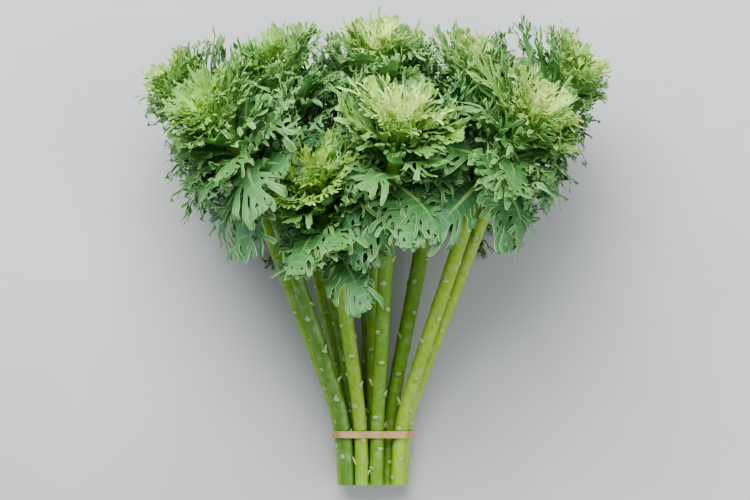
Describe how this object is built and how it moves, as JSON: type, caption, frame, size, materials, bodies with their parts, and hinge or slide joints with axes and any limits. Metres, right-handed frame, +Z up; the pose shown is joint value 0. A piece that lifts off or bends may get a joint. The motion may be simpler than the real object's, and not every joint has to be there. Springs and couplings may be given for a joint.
{
  "type": "kale bunch",
  "caption": "Bunch of long-stalked feather-leaved ornamental kale with green cut leaves and pale frilly hearts, held by an elastic band and laid down.",
  "frame": {"origin": "on the flat that the lowest middle stalk rests on, 15 mm in from the cut ends", "axes": "+Y along the bunch from the cut ends to the leaves, +Z up from the table that the bunch lies on, +X across it"},
  "size_m": [0.5707, 0.5832, 0.3523],
  "materials": {
    "stalk": "smooth bright green stalk with a faint bloom and pale leaf scars",
    "leaf": "matt blue-green leaf with pale ribs and fresh green young leaves",
    "heart_cream": "matt pale cream-green young leaves",
    "heart_lime": "matt lime-green young leaves with pale ribs",
    "heart_green": "matt fresh green young leaves",
    "band": "matt tan rubber"
  },
  "bodies": {
    "root": {"stalk_01": "stalk", "rosette_01": "leaf", "heart_01": "heart_green", "stalk_02": "stalk", "rosette_02": "leaf", "heart_02": "heart_lime", "stalk_03": "stalk", "rosette_03": "leaf", "heart_03": "heart_cream", "stalk_04": "stalk", "rosette_04": "leaf", "heart_04": "heart_cream", "stalk_05": "stalk", "rosette_05": "leaf", "heart_05": "heart_lime", "stalk_06": "stalk", "rosette_06": "leaf", "heart_06": "heart_green", "stalk_07": "stalk", "rosette_07": "leaf", "heart_07": "heart_cream", "stalk_08": "stalk", "rosette_08": "leaf", "heart_08": "heart_cream", "stalk_09": "stalk", "rosette_09": "leaf", "heart_09": "heart_cream", "stalk_10": "stalk", "rosette_10": "leaf", "heart_10": "heart_green", "stalk_11": "stalk", "rosette_11": "leaf", "heart_11": "heart_lime", "stalk_12": "stalk", "rosette_12": "leaf", "heart_12": "heart_green", "band": "band"}
  },
  "joints": []
}
